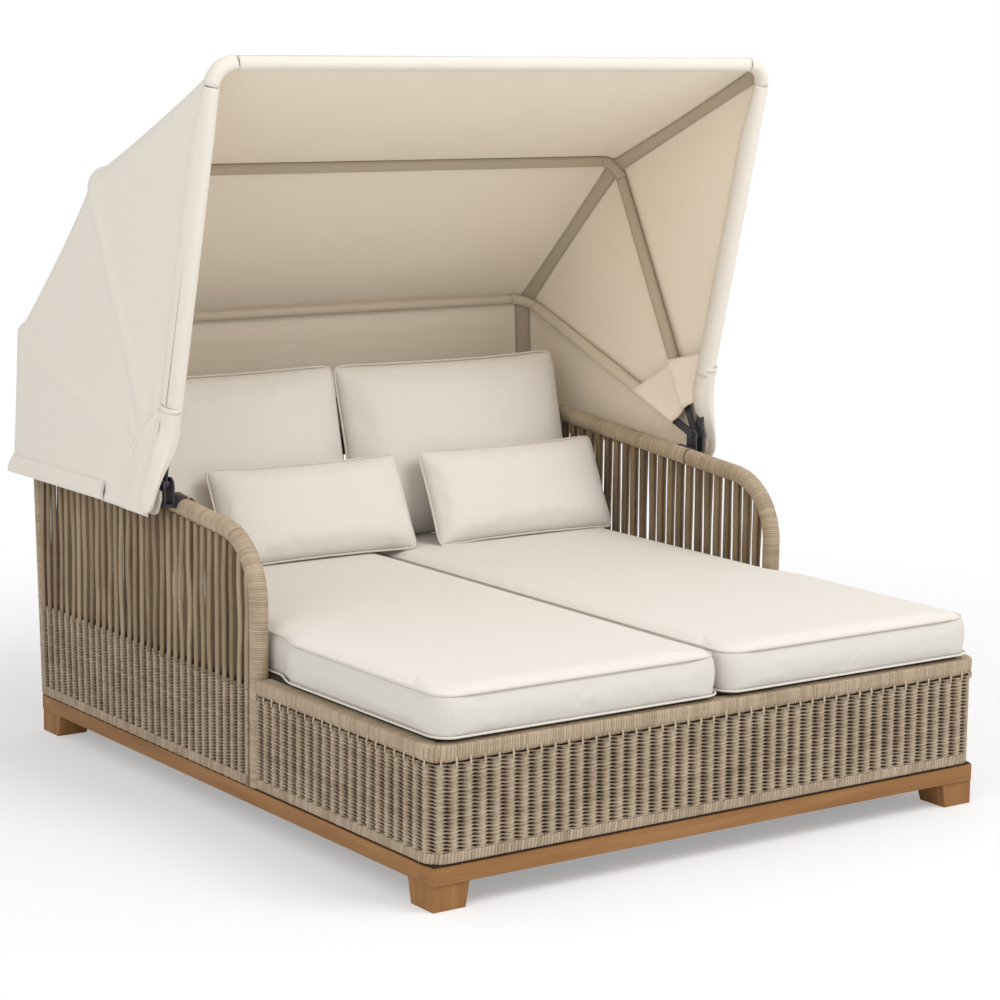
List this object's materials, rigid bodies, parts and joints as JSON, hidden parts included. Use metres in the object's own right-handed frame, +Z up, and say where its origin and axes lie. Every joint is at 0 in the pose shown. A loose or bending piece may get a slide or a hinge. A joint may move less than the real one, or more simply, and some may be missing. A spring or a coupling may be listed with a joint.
{
  "type": "outdoor daybed with canopy",
  "caption": "Double outdoor daybed with woven sides and arms, thick loose cushions on a timber plinth, and a canopy that folds back on pivoting bows.",
  "frame": {"origin": "on the floor, under the middle of the whole outline", "axes": "+X to the right seen from the open foot end, +Y from the foot end to the backrest, +Z up"},
  "size_m": [1.698, 1.9732, 1.8005],
  "materials": {
    "timber": "oiled hardwood, satin",
    "dark_metal": "dark grey powder coat, satin",
    "bow_tube": "dark grey powder coat, satin",
    "wicker": "flat resin strand weave, matt",
    "wrapped_rail": "tube wrapped in resin strand, matt",
    "rope_strand": "twisted resin strand, matt",
    "frame_metal": "taupe powder coat, satin",
    "cushion_cover": "off-white woven outdoor cloth, matt",
    "canopy_cloth": "beige woven awning cloth, matt"
  },
  "bodies": {
    "frame": {"plinth_front_rail": "timber", "plinth_rear_rail": "timber", "plinth_left_rail": "timber", "plinth_right_rail": "timber", "front_left_foot": "timber", "front_right_foot": "timber", "rear_left_foot": "timber", "rear_right_foot": "timber", "front_base_bar": "dark_metal", "rear_base_bar": "dark_metal", "left_base_bar": "dark_metal", "right_base_bar": "dark_metal", "left_pivot_bracket": "dark_metal", "right_pivot_bracket": "dark_metal", "left_pivot_bolt": "dark_metal", "right_pivot_bolt": "dark_metal", "front_woven_panel": "wicker", "left_woven_panel": "wicker", "right_woven_panel": "wicker", "front_rim": "wicker", "left_rim": "wicker", "right_rim": "wicker", "left_arm_woven_band": "wicker", "right_arm_woven_band": "wicker", "back_woven_band": "wicker", "left_arm_rail": "wrapped_rail", "right_arm_rail": "wrapped_rail", "left_arm_strands": "rope_strand", "right_arm_strands": "rope_strand", "back_strands": "rope_strand", "back_frame": "frame_metal", "left_side_bearer": "frame_metal", "right_side_bearer": "frame_metal", "left_front_post": "frame_metal", "right_front_post": "frame_metal", "front_cross_rail": "frame_metal", "rear_cross_rail": "frame_metal", "centre_beam": "frame_metal", "backrest_panel": "frame_metal", "left_backrest_strut": "frame_metal", "right_backrest_strut": "frame_metal", "deck_slat_1": "frame_metal", "deck_slat_2": "frame_metal", "deck_slat_3": "frame_metal", "deck_slat_4": "frame_metal", "deck_slat_5": "frame_metal", "deck_slat_6": "frame_metal", "left_seat_cushion": "cushion_cover", "right_seat_cushion": "cushion_cover", "left_back_cushion": "cushion_cover", "right_back_cushion": "cushion_cover", "left_lumbar_pillow": "cushion_cover", "right_lumbar_pillow": "cushion_cover"},
    "rear_bow": {"rear_bow": "bow_tube", "rear_canopy_curtain": "canopy_cloth"},
    "middle_bow": {"middle_bow": "bow_tube", "middle_canopy_panel": "canopy_cloth"},
    "front_bow": {"front_bow": "bow_tube", "front_canopy_panel": "canopy_cloth"}
  },
  "joints": [
    {"name": "rear_bow_settle", "type": "hinge", "parent": "frame", "child": "rear_bow", "pos_m": [0, 0.1514, 0.772], "axis": [-1, 0, 0], "range_deg": [0, 10], "deforming": ["rear_canopy_curtain"]},
    {"name": "middle_bow_fold", "type": "hinge", "parent": "rear_bow", "child": "middle_bow", "pos_m": [0, 0.1514, 0.772], "axis": [-1, 0, 0], "range_deg": [0, 29.5], "deforming": ["middle_canopy_panel"]},
    {"name": "front_bow_fold", "type": "hinge", "parent": "middle_bow", "child": "front_bow", "pos_m": [0, 0.1514, 0.772], "axis": [-1, 0, 0], "range_deg": [0, 29], "deforming": ["front_canopy_panel"]}
  ]
}
